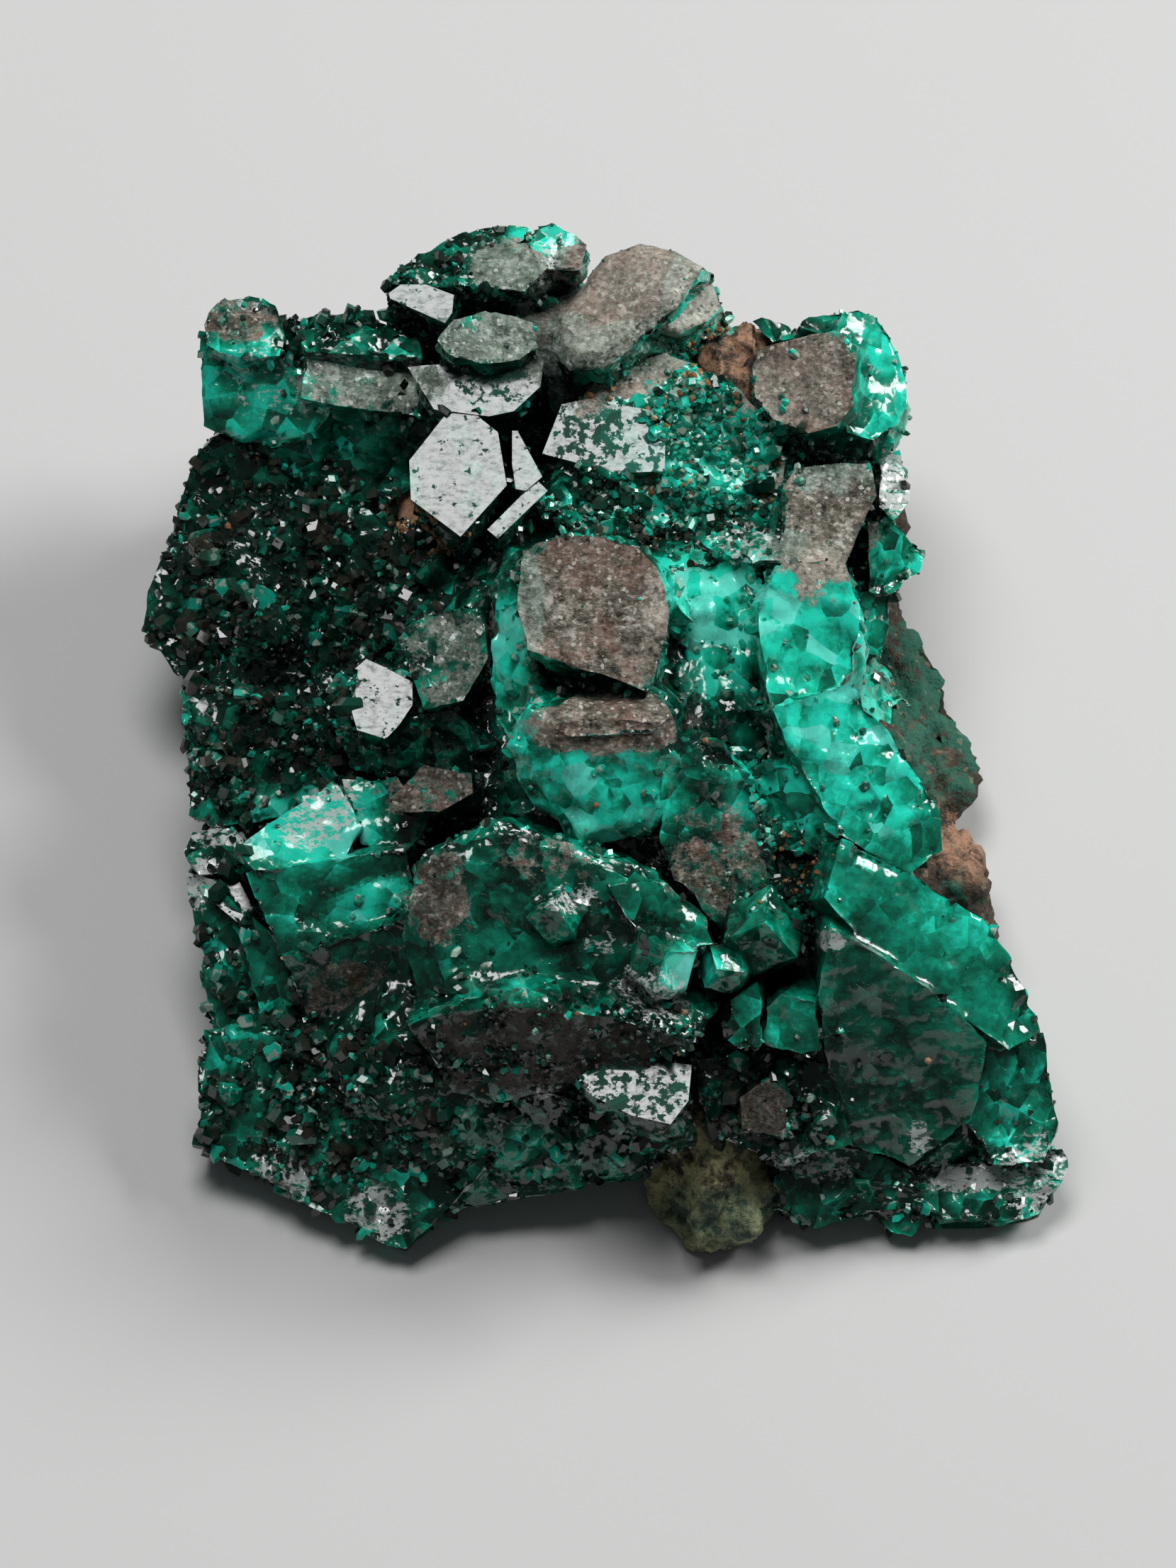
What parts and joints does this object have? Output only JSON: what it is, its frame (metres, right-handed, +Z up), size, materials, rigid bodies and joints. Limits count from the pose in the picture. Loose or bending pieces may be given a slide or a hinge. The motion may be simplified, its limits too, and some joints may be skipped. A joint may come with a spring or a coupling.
{
  "type": "dioptase mineral specimen",
  "caption": "Hand specimen of dark emerald dioptase crystals grown together on brown host rock, lying flat with its crystals facing up and forward.",
  "frame": {"origin": "middle of the bounding box's underside, on the table under the specimen", "axes": "+Z up from the table, -Y towards the side that the crystals face, +X to the right as the crystals are seen"},
  "size_m": [0.0525, 0.0582, 0.0275],
  "materials": {
    "dioptase": null,
    "rock": null
  },
  "bodies": {
    "root": {"dioptase_crystals": "dioptase", "host_rock": "rock"}
  },
  "joints": []
}
